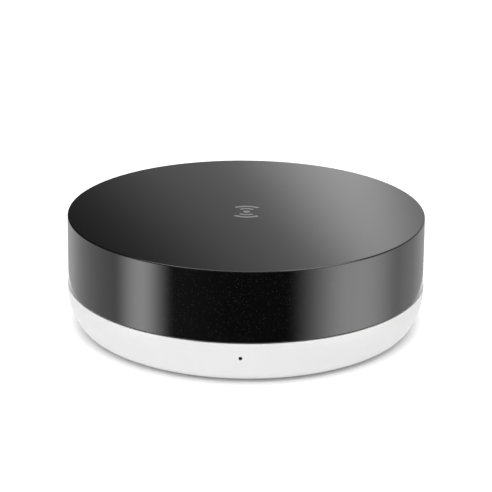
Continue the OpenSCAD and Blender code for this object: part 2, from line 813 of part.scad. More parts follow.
// The coaxial lead, from the plug up to the antenna
module antenna_lead() {
    points = [for (k = [0 : lead_rings]) each lead_ring(k / lead_rings)];
    last = lead_rings * lead_sides;
    walls = [for (k = [0 : lead_rings - 1], i = [0 : lead_sides - 1]) let (
            a = k * lead_sides + i,
            b = k * lead_sides + (i + 1) % lead_sides
        ) each [[a, a + lead_sides, b], [b, a + lead_sides, b + lead_sides]]];
    ends = [
        [for (i = [0 : lead_sides - 1]) i],
        [for (i = [0 : lead_sides - 1]) last + lead_sides - 1 - i]
    ];
    color("#3a3a3a") polyhedron(points = points, faces = concat(walls, ends));
}

// The printed strip under the roof, with the lump of solder that takes the lead's end
module antenna_board() {
    color("#2f7d4f") on_board(antenna_place_share) {
        block([antenna_l, antenna_w, antenna_t], antenna_low_z);
        translate([-lead_d, 0, 0]) block([2 * lead_d, 2 * lead_d, antenna_low_z - lead_end_z + lead_d / 2],
            lead_end_z - lead_d / 2);
    }
}

// The sticky pad between the antenna and the roof
module antenna_tape() {
    color("#e8e4d8") on_board(antenna_place_share)
        block([antenna_l - 2 * tape_inset, antenna_w - 2 * tape_inset, tape_t], ceiling_z - tape_t);
}

// Outline of the power socket's shell, grown or shrunk by a margin
module shell_outline(margin) {
    r = shell_h / 2 + margin;
    hull() for (side = [-1, 1]) translate([side * (shell_w - shell_h) / 2, 0]) circle(r = r, $fn = 32);
}

// The metal shell, open at the mouth
module power_socket_shell() {
    color("#b9bcc0") along_y(shell_back_y, mouth_y, shell_z) difference() {
        shell_outline(0);
        shell_outline(-shell_t);
    }
}

// The plastic block in the back of the shell, and the tongue that it holds
module power_socket_tongue() {
    color("#161616") difference() {
        union() {
            along_y(shell_back_y, tongue_block_y, shell_z) shell_outline(-shell_t);
            translate([0, (tongue_block_y + mouth_y - tongue_inset) / 2])
                block([tongue_w, mouth_y - tongue_inset - tongue_block_y + 2 * overrun, tongue_t],
                    shell_z - tongue_t / 2);
        }
        for (side = [-1, 1], share = contact_shares) contact_strip(side, share, thread_clear);
    }
}

// One contact: a strip along the tongue, let through the block, its tail standing out behind
module contact_strip(side, share, margin) {
    from_y = shell_back_y - contact_tail_l;
    to_y = mouth_y - tongue_inset - 2 * contact_w;
    w = contact_w + 2 * margin;
    z = shell_z + side * (tongue_t / 2 + contact_t / 2);
    translate([share * contact_pitch - w / 2, from_y, z - contact_t / 2 - margin])
        cube([w, to_y - from_y, contact_t + 2 * margin]);
}

// The contacts on both faces of the tongue
module power_socket_contacts() {
    color("gold") for (side = [-1, 1], share = contact_shares) contact_strip(side, share, 0);
}

// The fuse behind the inlet
module input_fuse() {
    color("#3c6e3c") on_board(fuse_place_share) small_part(fuse_size);
}

// The diode that takes spikes on the supply
module surge_diode() {
    color("#222222") on_board(diode_place_share) small_part(diode_size);
}

// The regulator, with four legs on each side
module regulator_chip() {
    body_z = board_top_z + regulator_leg_t;
    legs_span = regulator_size[0] + 2 * regulator_leg_l;
    color("#1d1d1d") on_board(regulator_place_share) {
        block([regulator_size[0], regulator_size[1], regulator_size[2] - regulator_leg_t], body_z);
        for (share = regulator_leg_shares) translate([0, share * regulator_size[1]])
            block([legs_span, regulator_leg_w, 2 * regulator_leg_t], board_top_z);
    }
}

// The choke: a square block with cut corners
module power_inductor() {
    half = choke_w / 2;
    cut = half - choke_corner;
    color("#3b3b3f") on_board(choke_place_share) translate([0, 0, board_top_z])
        linear_extrude(height = choke_h) polygon([
            [-cut, -half], [cut, -half], [half, -cut], [half, cut],
            [cut, half], [-cut, half], [-half, cut], [-half, -cut]
        ]);
}

// The cans of the two big capacitors
module capacitor_cans() {
    color("#c4c7cb") at_places(capacitor_places) translate([0, 0, board_top_z + capacitor_base_h])
        cylinder(d = capacitor_d, h = capacitor_h);
}

// The square plastic bases under them
module capacitor_bases() {
    color("#1c1c1c") at_places(capacitor_places)
        block([capacitor_base_w, capacitor_base_w, capacitor_base_h], board_top_z);
}

// The ceramic capacitors
module ceramic_capacitors() {
    color("#b08a5a") {
        for (row_share = ceramic_rows_share) part_row(row_on_board(row_share), ceramic_size);
        part_row(module_row, ceramic_size);
    }
}

// The chip resistors
module chip_resistors() {
    color("#26262b") for (row_share = resistor_rows_share)
        part_row(row_on_board(row_share), resistor_size);
}

// The status light
module status_led() {
    color("#f2efe0") translate([0, led_y]) block(led_size, board_top_z);
}

// The clear guide: two pins in the board, a bridge over the light, a post and an arm to the cover's wall
module light_guide() {
    arm_y = -sqrt(pow(cover_top_in_r - guide_wall_gap, 2) - pow(guide_w / 2, 2));
    back_y = led_y + guide_t / 2;
    color("#cfe4ee") {
        translate([0, led_y]) block([bridge_l, guide_t, bridge_t], bridge_z);
        for (side = [-1, 1]) translate([side * guide_pin_x, led_y, board_low_z]) {
            cylinder(d = guide_pin_d, h = bridge_z + overrun - board_low_z);
            translate([0, 0, board_t]) cylinder(d = guide_t, h = bridge_z + overrun - board_top_z);
        }
        translate([-guide_w / 2, 0, 0]) rotate([90, 0, 90]) linear_extrude(height = guide_w) polygon([
            [back_y - guide_t, bridge_z],
            [back_y, bridge_z],
            [back_y, guide_arm_z],
            [back_y - guide_t, guide_arm_z + guide_t],
            [arm_y, guide_arm_z + guide_t],
            [arm_y, guide_arm_z],
            [back_y - guide_t, guide_arm_z]
        ]);
    }
}

// The switch's plastic body, with the round well that the plunger and the dome work in
module reset_switch_body() {
    color("#1b1b1b") difference() {
        along_y(frame_in_y, switch_back_y, pinhole_z) square([switch_w, switch_h], center = true);
        rod_y(well_r, frame_in_y - overrun, dome_seat_y, pinhole_z);
    }
}

// The metal frame that closes the well, with the hole for the plunger
module reset_switch_frame() {
    color("#c2c5c8") difference() {
        along_y(switch_face_y, frame_in_y, pinhole_z) square([switch_w, switch_h], center = true);
        rod_y(plunger_d / 2 + plunger_clear, switch_face_y - overrun, frame_in_y + overrun, pinhole_z);
    }
}

// The sprung dome: a shallow cone of thin sheet with a flat crown
module reset_dome() {
    crown_r = well_r / 3;
    foot_r = well_r - plunger_clear;
    color("#d5b36a") translate([0, dome_seat_y, pinhole_z]) rotate([90, 0, 0]) rotate_extrude() polygon([
        [0, dome_rise - dome_t],
        [crown_r, dome_rise - dome_t],
        [foot_r - dome_t, 0],
        [foot_r, 0],
        [crown_r + dome_t, dome_rise],
        [0, dome_rise]
    ]);
}

// The switch's two legs, soldered to the underside of the board
module reset_terminals() {
    color("silver") for (side = [-1, 1])
        translate([side * (switch_w + terminal_t) / 2, (frame_in_y + switch_back_y) / 2])
            block([terminal_t, switch_l / 2, switch_h / 2 + terminal_t], pinhole_z - terminal_t);
}

// The plunger, with the flange that keeps it behind the frame
module reset_plunger() {
    color("#e9e6dc") {
        rod_y(plunger_d / 2, plunger_tip_y, flange_y + flange_t, pinhole_z);
        rod_y(flange_d / 2, flange_y, flange_y + flange_t, pinhole_z);
    }
}

top_cover();
base_shell();
rubber_feet();
case_screws();
ballast_plate();
ballast_screws();
insulating_film();
main_board();
board_screws();
radio_module_board();
radio_shield_can();
radio_chip();
reference_crystal();
antenna_socket();
antenna_plug();
antenna_lead();
antenna_board();
antenna_tape();
power_socket_shell();
power_socket_tongue();
power_socket_contacts();
input_fuse();
surge_diode();
regulator_chip();
power_inductor();
capacitor_cans();
capacitor_bases();
ceramic_capacitors();
chip_resistors();
status_led();
light_guide();
reset_switch_body();
reset_switch_frame();
reset_dome();
reset_terminals();
reset_plunger();
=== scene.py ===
# A round table-top wireless repeater: a black drum on a white base, on a white table.
# Lengths are in metres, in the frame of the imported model: the front faces -Y and the table is at Z = 0.

from math import cos, pi, radians, sin

import bmesh
import bpy
from mathutils import Matrix, Vector


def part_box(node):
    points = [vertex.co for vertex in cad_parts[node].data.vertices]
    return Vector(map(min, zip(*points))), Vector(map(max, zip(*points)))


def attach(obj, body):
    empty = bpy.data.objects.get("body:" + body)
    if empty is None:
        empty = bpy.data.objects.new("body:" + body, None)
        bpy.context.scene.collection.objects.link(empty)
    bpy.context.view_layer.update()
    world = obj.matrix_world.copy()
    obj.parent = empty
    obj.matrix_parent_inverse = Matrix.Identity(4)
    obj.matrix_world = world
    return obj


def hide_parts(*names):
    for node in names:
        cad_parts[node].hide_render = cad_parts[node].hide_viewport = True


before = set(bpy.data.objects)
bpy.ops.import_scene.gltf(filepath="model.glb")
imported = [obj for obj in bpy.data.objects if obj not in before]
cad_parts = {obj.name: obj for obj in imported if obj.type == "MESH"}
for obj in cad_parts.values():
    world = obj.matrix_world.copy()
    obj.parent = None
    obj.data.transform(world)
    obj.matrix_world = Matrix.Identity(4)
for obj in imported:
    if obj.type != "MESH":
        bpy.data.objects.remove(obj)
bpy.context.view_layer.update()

MM = 0.001

# The Z axis, seen from above
Z_AXIS = (0.0, 0.0)

# The case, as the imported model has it
COVER_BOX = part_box("top_cover")
BASE_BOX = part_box("base_shell")
TOP_Z = COVER_BOX[1].z
COVER_LOW_R = COVER_BOX[1].x
SEAM_Z = BASE_BOX[1].z
BOSS_LOW_Z = COVER_BOX[0].z

# The cover's own sizes
COVER_DRAFT = 0.2 * MM
COVER_WALL = 2.4 * MM
COVER_ROOF = 2.2 * MM
EDGE_ROUND = 0.4 * MM
FOOT_ROUND = 0.12 * MM
SEAM_GAP_H = 0.3 * MM
SEAM_GAP_DEPTH = 0.8 * MM
LIP_DEPTH = 2.6 * MM
LIP_OUT_R = 53.1 * MM
LIP_T = 1.5 * MM
LIP_ROOT_H = 2.5 * MM
LIP_NOTCH_W = 15.1 * MM
BOSS_RING_R = 40.2 * MM
BOSS_TURNS = (radians(45), radians(135), radians(225), radians(315))
BOSS_D = 7 * MM
BOSS_HOLE_D = 2.6 * MM
BOSS_HOLE_H = 9 * MM
RIB_T = 1.2 * MM
RIB_H = 12 * MM

# Where the satin finish of the roof begins
SATIN_LOW_Z = TOP_Z - EDGE_ROUND / 4

# How far a joined piece reaches into the next, how near to an edge its shading is held, and the angle
# between two faces from which their edge is hard
OVERLAP = 0.4 * MM
NEAR_EDGE = 0.08 * MM
NEAR_SHARE = 0.005
SMOOTH_ANGLE = radians(25)

# How finely round shapes are made, and the radius that counts as none
COVER_STEPS = 288
BOSS_STEPS = 32
EDGE_STEPS = 12
FOOT_STEPS = 4
CARD_STEPS = 24
CEILING_STEPS = 64
NO_RADIUS = 1e-9

# The mark in the middle of the top. It is a little thinner than it stands proud, which keeps it off the roof
MARK_PLACE = Vector((0.1, -1.1, 0.0)) * MM
MARK_PROUD = 0.02 * MM
MARK_T = MARK_PROUD * 0.9
MARK_DOT_R = 1.1 * MM
MARK_ARCS = ((2.4 * MM, 3.5 * MM), (4.7 * MM, 5.9 * MM))
MARK_HALF_ANGLE = radians(42)
MARK_DOT_STEPS = 32
MARK_ARC_STEPS = 24

# The pinhole in the front of the base and its painted shade: how much of the white is left, and where it
# ends
PINHOLE_Z = 9.05 * MM
PINHOLE_R = 0.56 * MM
PINHOLE_SHADE = 0.3
PINHOLE_SHADE_R = PINHOLE_R * 1.05

# The levels that a noise mostly stays between
NOISE_LOW = 0.3
NOISE_HIGH = 0.7

# The moulded finish: the size of its drift, and its specks of dust. Their core and edge are shares of their
# pitch
DRIFT_SIZE = 25 * MM
SPECK_PITCH = 0.6 * MM
SPECK_CORE = 0.08
SPECK_EDGE = 0.28
SPECK_SHARE = 0.5
SPECK_DRAW_SCALE = 7.0
DUST_COLOUR = (0.42, 0.41, 0.4, 1.0)
DUST_MATT = 0.3

# The metal finish: the size of its tarnished patches, and how its fine lines change the roughness
TARNISH_SIZE = 8 * MM
WORN_SHEEN = (0.8, 1.25)

# The printed board: its tracks, its weave, and the patches that they lie in. Below the first share a patch
# has tracks one way, above the second it has them the other way, and between the two it is all copper
TRACK_PROUD = 0.03 * MM
TRACK_GAP = 0.14
TRACK_BLUR = 0.05
PATCH_SIZE = 9 * MM
PATCH_SHARES = (0.3, 0.7)
WEAVE_SIZE = 0.4 * MM
WEAVE_SHADES = (0.92, 1.06)
BOARD_ROUGHNESS = (0.3, 0.42)

# The table: its size, its colour and its fine mottle
TABLE_HALF = 3.0
TABLE_COLOUR = 0.93
TABLE_GRAIN_SCALE = 900.0
TABLE_SHADES = (0.997, 1.003)

# The table's faint glow, which fades out under the base as a painted shadow: its levels and where it changes
TABLE_GLOW = 0.42
TABLE_GLOW_IN_PAINTED_SHADOW = 0.0
PAINTED_SHADOW_IN_R = 50.5 * MM
PAINTED_SHADOW_OUT_R = 57.5 * MM

# The room's light on the object
ROOM_LIGHT = 0.44

# The soft lights: where each stands, as a turn from the front and a height in degrees, its strength and its
# spread
SUNS = (
    ("Key light", -10, 68, 0.85, 60),
    ("Top light", 20, 75, 0.60, 60),
    ("Left fill", -60, 9, 0.5, 40),
    ("Back fill", 180, 30, 0.25, 50),
    ("Under light", 35, -27, 0.45, 40),
)

# The cards that only gloss shows. A round band has stops: a turn in degrees, the glow there, and how far the
# stop leans, in degrees for each metre above or below a middle level, up to a most height from it
NEAR_R = 76 * MM
NEAR_H = 34 * MM
NEAR_STOPS = (
    (-180, 1.3, 0), (-152, 0.35, 0), (-125, 0.5, 0), (-95, 0.95, 0), (-58, 0.95, 0), (-42, 4.8, 0),
    (-27, 0.1, 0), (0, 0.03, 0), (17, 0.03, 0), (44, 4.6, 0), (48, 4.45, 0), (78, 1.05, 0), (95, 0.8, 0),
    (125, 0.5, 0), (152, 0.35, 0), (180, 1.3, 0),
)
FAR_R = 450 * MM
FAR_H = 600 * MM
FAR_STOPS = (
    (-180, 0.3, 0), (-40, 0.02, 0), (-14.5, 0.05, 112), (-1, 0.41, 112), (7.5, 1.5, 40), (12.5, 0.65, 40),
    (40, 0.6, 0), (180, 0.6, 0),
)
LEAN_MIDDLE_Z = 182 * MM
MOST_LEAN_H = 60 * MM
BAND_STEPS = 360
BAND_ROWS = 60

# The card that stands high at the side, its ends as angles from +X, and the ring overhead
CARD_T = MM
SIDE_CARD_R = 300 * MM
SIDE_CARD_ENDS = (radians(-65), radians(-12))
SIDE_CARD_LOW_Z = 170 * MM
SIDE_CARD_HIGH_Z = 400 * MM
SIDE_CARD_GLOW = 5.0
CEILING_Z = 450 * MM
CEILING_IN_R = 150 * MM
CEILING_OUT_R = 300 * MM
CEILING_GLOW = 3.5

# The camera: its distance from the middle of the top, and the way it looks at it
PHOTO_W = 492
CAMERA_DISTANCE = 550 * MM
CAMERA_FOCAL_PIXELS = 1780.3
CAMERA_TURN = radians(1.35)
SIGHT_ELEVATION = radians(18.037)
AXIS_ELEVATION = radians(19.178)
CAMERA_ROLL = radians(0.549)
CAMERA_NEAREST = 10 * MM
CAMERA_FARTHEST = 20.0


# Helpers for meshes

def new_object(name, data):
    """A named object in the scene, made of a mesh, a light or a camera."""
    obj = bpy.data.objects.new(name, data)
    bpy.context.scene.collection.objects.link(obj)
    return obj


def mesh_from(name, vertices, faces):
    """An object made of corners and faces, its normals turned outwards."""
    mesh = bpy.data.meshes.new(name)
    mesh.from_pydata(vertices, [], faces)
    mesh.validate()
    bm = bmesh.new()
    bm.from_mesh(mesh)
    bmesh.ops.recalc_face_normals(bm, faces=bm.faces)
    bm.to_mesh(mesh)
    bm.free()
    return new_object(name, mesh)


def on_circle(center, radius, angle):
    """The point of a circle at an angle."""
    return (center[0] + radius * cos(angle), center[1] + radius * sin(angle))


def arc_points(center, radius, from_angle, to_angle, steps):
    """Points along a part of a circle, both ends among them."""
    change = to_angle - from_angle
    return [on_circle(center, radius, from_angle + change * k / steps) for k in range(steps + 1)]


def bowed_strip(center, in_r, out_r, from_angle, to_angle, steps):
    """The outline of a strip that bows round a point between two radii."""
    return (arc_points(center, in_r, from_angle, to_angle, steps)
            + arc_points(center, out_r, to_angle, from_angle, steps))


def lathe(name, outline, steps):
    """A closed outline of (radius, height) pairs turned round the Z axis."""
    rings = []
    vertices = []
    for radius, height in outline:
        if radius < NO_RADIUS:
            rings.append([len(vertices)] * steps)
            vertices.append((0.0, 0.0, height))
            continue
        rings.append([len(vertices) + k for k in range(steps)])
        vertices += [(*on_circle(Z_AXIS, radius, 2 * pi * k / steps), height) for k in range(steps)]
    faces = []
    for ring, after in zip(rings, rings[1:] + rings[:1]):
        if ring[0] == ring[1] and after[0] == after[1]:
            continue
        for k in range(steps):
            n = (k + 1) % steps
            corners = [ring[k], ring[n], after[n], after[k]]
            faces.append(list(dict.fromkeys(corners)))
    return mesh_from(name, vertices, faces)


def prism(name, outlines, low, high):
    """Flat outlines of (x, y) points, each pushed up from one height to another."""
    vertices = []
    faces = []
    for outline in outlines:
        count = len(outline)
        lower = [len(vertices) + k for k in range(count)]
        upper = [k + count for k in lower]
        vertices += [(x, y, low) for x, y in outline] + [(x, y, high) for x, y in outline]
        faces += [lower, upper]
        for k in range(count):
            n = (k + 1) % count
            faces.append([lower[k], lower[n], upper[n], upper[k]])
    return mesh_from(name, vertices, faces)


def block(name, low, high):
    """A box between two corners."""
    outline = [(low[0], low[1]), (high[0], low[1]), (high[0], high[1]), (low[0], high[1])]
    return prism(name, [outline], low[2], high[2])


def turned_about_z(obj, angle):
    """Turns a mesh about the Z axis."""
    obj.data.transform(Matrix.Rotation(angle, 4, "Z"))
    return obj


def apply_boolean(obj, other, operation):
    """Joins or cuts an object with another, which is then removed."""
    cutter = obj.modifiers.new("cut", "BOOLEAN")
    cutter.operation = operation
    cutter.solver = "EXACT"
    cutter.object = other
    depsgraph = bpy.context.evaluated_depsgraph_get()
    shaped = bpy.data.meshes.new_from_object(obj.evaluated_get(depsgraph))
    obj.modifiers.clear()
    obj.data = shaped
    bpy.data.objects.remove(other)


def smooth_by_angle(obj, angle):
    """Smooth shading, with a hard line wherever two faces meet at more than the angle."""
    mesh = obj.data
    bm = bmesh.new()
    bm.from_mesh(mesh)
    for edge in bm.edges:
        edge.smooth = len(edge.link_faces) == 2 and edge.calc_face_angle(0.0) < angle
    for face in bm.faces:
        face.smooth = True
    bm.to_mesh(mesh)
    bm.free()


# Helpers for materials

class Nodes:
    """Places nodes in a tree and wires them up."""

    def __init__(self, tree):
        self.tree = tree

    def add(self, kind, **settings):
        """A new node, with its settings."""
        node = self.tree.nodes.new(kind)
        for name, value in settings.items():
            setattr(node, name, value)
        return node

    def plug(self, socket, value):
        """Gives an input socket a value, or the link to another node's output."""
        if isinstance(value, bpy.types.NodeSocket):
            self.tree.links.new(value, socket)
        else:
            socket.default_value = value

    def feed(self, node, **inputs):
        """Gives a node its inputs by name, with an underscore for each space."""
        for name, value in inputs.items():
            self.plug(node.inputs[name.replace("_", " ")], value)

    def place(self):
        """The point of the object, in metres."""
        return self.add("ShaderNodeTexCoord").outputs["Object"]

    def parts(self, vector):
        """The three numbers of a point."""
        node = self.add("ShaderNodeSeparateXYZ")
        self.feed(node, Vector=vector)
        return node.outputs

    def noise(self, place, scale, detail, roughness=0.5):
        """A soft random pattern."""
        node = self.add("ShaderNodeTexNoise")
        self.feed(node, Vector=place, Scale=scale, Detail=detail, Roughness=roughness)
        return node.outputs["Fac"]

    def cells(self, place, size, **settings):
        """A pattern of cells of about one size."""
        node = self.add("ShaderNodeTexVoronoi", **settings)
        self.feed(node, Vector=place, Scale=1 / size)
        return node.outputs

    def math(self, operation, a, b=0.0):
        """A sum of two numbers, or another operation on them."""
        node = self.add("ShaderNodeMath", operation=operation)
        self.plug(node.inputs[0], a)
        self.plug(node.inputs[1], b)
        return node.outputs[0]

    def blend(self, share, a, b):
        """A colour between two colours."""
        node = self.add("ShaderNodeMix", data_type="RGBA")
        for name, value in (("Factor_Float", share), ("A_Color", a), ("B_Color", b)):
            self.plug(next(s for s in node.inputs if s.identifier == name), value)
        return next(s for s in node.outputs if s.identifier == "Result_Color")

    def spread(self, value, low, high, to_low, to_high):
        """A value taken from one range to another, held at its ends."""
        node = self.add("ShaderNodeMapRange", clamp=True)
        self.feed(node, Value=value, From_Min=low, From_Max=high, To_Min=to_low, To_Max=to_high)
        return node.outputs["Result"]

    def scaled(self, colour, level):
        """A colour made lighter or darker."""
        node = self.add("ShaderNodeVectorMath", operation="SCALE")
        self.feed(node, Vector=colour, Scale=level)
        return node.outputs[0]

    def bump(self, height, depth):
        """A normal from a height, with a real depth in metres."""
        node = self.add("ShaderNodeBump")
        self.feed(node, Height=height, Distance=depth)
        return node.outputs["Normal"]


def new_group(name, inputs):
    """An empty node group with named inputs, which puts out a colour, a roughness and a normal."""
    group = bpy.data.node_groups.new(name, "ShaderNodeTree")
    for label, kind, default in inputs:
        socket = group.interface.new_socket(label, in_out="INPUT", socket_type="NodeSocket" + kind)
        if default is not None:
            socket.default_value = default
    for label, kind in (("Colour", "Color"), ("Roughness", "Float"), ("Normal", "Vector")):
        group.interface.new_socket(label, in_out="OUTPUT", socket_type="NodeSocket" + kind)
    entry = group.nodes.new("NodeGroupInput")
    leave = group.nodes.new("NodeGroupOutput")
    return Nodes(group), entry.outputs, leave


def make_moulded_finish():
    """Moulded plastic: a fine grain, a slow drift in colour and sheen, and sparse specks of dust."""
    nodes, given, result = new_group("Moulded finish", [
        ("Colour", "Color", None), ("Roughness", "Float", 0.4), ("Grain size", "Float", 0.3 * MM),
        ("Grain depth", "Float", 0.004 * MM), ("Dust", "Float", 0.05), ("Dust colour", "Color", None),
        ("Drift", "Float", 0.06)])
    place = nodes.place()
    fine = nodes.noise(place, nodes.math("DIVIDE", 1.0, given["Grain size"]), detail=2.0, roughness=0.6)
    slow = nodes.noise(place, 1 / DRIFT_SIZE, detail=3.0)
    change = nodes.math("MULTIPLY", nodes.math("SUBTRACT", slow, 0.5), given["Drift"])
    level = nodes.math("ADD", 1.0, change)
    specks = nodes.cells(place, SPECK_PITCH)
    near = nodes.spread(specks["Distance"], SPECK_CORE, SPECK_EDGE, 1.0, 0.0)
    draw = nodes.noise(specks["Color"], SPECK_DRAW_SCALE, detail=0.0)
    rare = nodes.math("LESS_THAN", draw, SPECK_SHARE)
    dusty = nodes.math("MULTIPLY", nodes.math("MULTIPLY", near, rare), given["Dust"])
    colour = nodes.blend(dusty, nodes.scaled(given["Colour"], level), given["Dust colour"])
    sheen = nodes.math("MULTIPLY", given["Roughness"], level)
    roughness = nodes.math("ADD", sheen, nodes.math("MULTIPLY", dusty, DUST_MATT))
    nodes.feed(result, Colour=colour, Roughness=roughness, Normal=nodes.bump(fine, given["Grain depth"]))
    return nodes.tree


def make_metal_finish():
    """Sheet or turned metal: long fine lines along X, and a slow drift in its tint."""
    nodes, given, result = new_group("Metal finish", [
        ("Colour", "Color", None), ("Roughness", "Float", 0.3), ("Line width", "Float", 0.08 * MM),
        ("Line stretch", "Float", 20.0), ("Line depth", "Float", 0.003 * MM), ("Tarnish", "Float", 0.15)])
    place = nodes.place()
    along = nodes.add("ShaderNodeCombineXYZ")
    nodes.feed(along, X=given["Line stretch"], Y=1.0, Z=1.0)
    stretched = nodes.add("ShaderNodeVectorMath", operation="DIVIDE")
    nodes.plug(stretched.inputs[0], place)
    nodes.plug(stretched.inputs[1], along.outputs[0])
    fineness = nodes.math("DIVIDE", 1.0, given["Line width"])
    lines = nodes.noise(stretched.outputs[0], fineness, detail=3.0, roughness=0.7)
    patches = nodes.noise(place, 1 / TARNISH_SIZE, detail=2.0)
    level = nodes.math("SUBTRACT", 1.0, nodes.math("MULTIPLY", patches, given["Tarnish"]))
    colour = nodes.scaled(given["Colour"], level)
    worn = nodes.spread(lines, NOISE_LOW, NOISE_HIGH, *WORN_SHEEN)
    roughness = nodes.math("MULTIPLY", given["Roughness"], worn)
    nodes.feed(result, Colour=colour, Roughness=roughness, Normal=nodes.bump(lines, given["Line depth"]))
    return nodes.tree


def make_printed_board():
    """A circuit board: its lacquer, paler over the copper, which lies in tracks and in whole patches."""
    nodes, given, result = new_group("Printed board", [
        ("Lacquer", "Color", None), ("Over copper", "Color", None), ("Track pitch", "Float", 2.0 * MM)])
    place = nodes.place()
    across = nodes.parts(place)
    patches = nodes.cells(place, PATCH_SIZE, distance="MANHATTAN")
    split = nodes.add("ShaderNodeSeparateColor")
    nodes.plug(split.inputs[0], patches["Color"])
    draw = split.outputs[0]
    runs = []
    for axis in ("X", "Y"):
        turn = nodes.math("FRACT", nodes.math("DIVIDE", across[axis], given["Track pitch"]))
        gap = nodes.math("ABSOLUTE", nodes.math("SUBTRACT", turn, 0.5))
        runs.append(nodes.spread(gap, TRACK_GAP, TRACK_GAP + TRACK_BLUR, 0.0, 1.0))
    along_y = nodes.math("MAXIMUM", runs[0], nodes.math("GREATER_THAN", draw, PATCH_SHARES[0]))
    along_x = nodes.math("MAXIMUM", runs[1], nodes.math("LESS_THAN", draw, PATCH_SHARES[1]))
    copper = nodes.math("MULTIPLY", along_y, along_x)
    weave = nodes.noise(place, 1 / WEAVE_SIZE, detail=2.0)
    shade = nodes.spread(weave, NOISE_LOW, NOISE_HIGH, *WEAVE_SHADES)
    colour = nodes.scaled(nodes.blend(copper, given["Lacquer"], given["Over copper"]), shade)
    roughness = nodes.spread(weave, NOISE_LOW, NOISE_HIGH, *BOARD_ROUGHNESS)
    nodes.feed(result, Colour=colour, Roughness=roughness, Normal=nodes.bump(copper, TRACK_PROUD))
    return nodes.tree


MOULDED_FINISH = make_moulded_finish()
METAL_FINISH = make_metal_finish()
PRINTED_BOARD = make_printed_board()


def new_material(name):
    """A material, its nodes and its shader."""
    material = bpy.data.materials.new(name)
    material.use_nodes = True
    return material, Nodes(material.node_tree), material.node_tree.nodes["Principled BSDF"]


def finished(name, group, group_values, **values):
    """A material whose colour, roughness and normal come from a shared group."""
    material, nodes, shader = new_material(name)
    nodes.feed(shader, **values)
    finish = nodes.add("ShaderNodeGroup", node_tree=group)
    for label, value in group_values.items():
        nodes.plug(finish.inputs[label], value)
    nodes.feed(shader, Base_Color=finish.outputs["Colour"], Roughness=finish.outputs["Roughness"],
               Normal=finish.outputs["Normal"])
    return material


def grey(level):
    """A neutral colour."""
    return (level, level, level, 1.0)


def plastic(name, colour, roughness, grain=0.3 * MM, depth=0.004 * MM, dust=0.05, drift=0.08, **values):
    """A moulded plastic, rubber or ceramic."""
    return finished(name, MOULDED_FINISH, {
        "Colour": colour, "Roughness": roughness, "Grain size": grain, "Grain depth": depth,
        "Dust": dust, "Dust colour": DUST_COLOUR, "Drift": drift}, **values)


def metal(name, colour, roughness, line=0.08 * MM, stretch=20.0, depth=0.003 * MM, tarnish=0.15):
    """A metal, rolled, drawn or turned."""
    return finished(name, METAL_FINISH, {
        "Colour": colour, "Roughness": roughness, "Line width": line, "Line stretch": stretch,
        "Line depth": depth, "Tarnish": tarnish}, Metallic=1.0)


def board(name, lacquer, over_copper, pitch):
    """A printed circuit board."""
    return finished(name, PRINTED_BOARD, {
        "Lacquer": lacquer, "Over copper": over_copper, "Track pitch": pitch})


def paint_pinhole_shade(material):
    """Paints shade into the pinhole's wall by darkening its colour, as hardly any light gets into the hole.
    """
    nodes = Nodes(material.node_tree)
    shader = material.node_tree.nodes["Principled BSDF"]
    colour = shader.inputs["Base Color"].links[0].from_socket
    point = nodes.parts(nodes.place())
    rise = nodes.math("SUBTRACT", point["Z"], PINHOLE_Z)
    squares = nodes.math("ADD", nodes.math("POWER", point["X"], 2.0), nodes.math("POWER", rise, 2.0))
    reach = nodes.math("SQRT", squares)
    shade = nodes.spread(reach, PINHOLE_R, PINHOLE_SHADE_R, PINHOLE_SHADE, 1.0)
    at_back = nodes.math("GREATER_THAN", point["Y"], 0.0)
    nodes.feed(shader, Base_Color=nodes.scaled(colour, nodes.math("MAXIMUM", shade, at_back)))


# The case's materials
GLOSS_COVER = plastic("Black cover, glossy side", grey(0.002), 0.13, depth=0.0008 * MM, dust=0.06,
                      drift=0.1, IOR=1.5)
SATIN_COVER = plastic("Black cover, satin top", grey(0.003), 0.14, grain=0.2 * MM, depth=0.001 * MM,
                      drift=0.05, IOR=1.5)
MARK_PRINT = plastic("Grey print", grey(0.2), 0.4, grain=0.1 * MM, depth=0.0005 * MM, dust=0.0, drift=0.04)
WHITE_BASE = plastic("White base", grey(0.88), 0.42, depth=0.0012 * MM, dust=0.04, drift=0.02,
                     Specular_IOR_Level=0.2)
# Painted shade on the pinhole's wall in the white base
paint_pinhole_shade(WHITE_BASE)

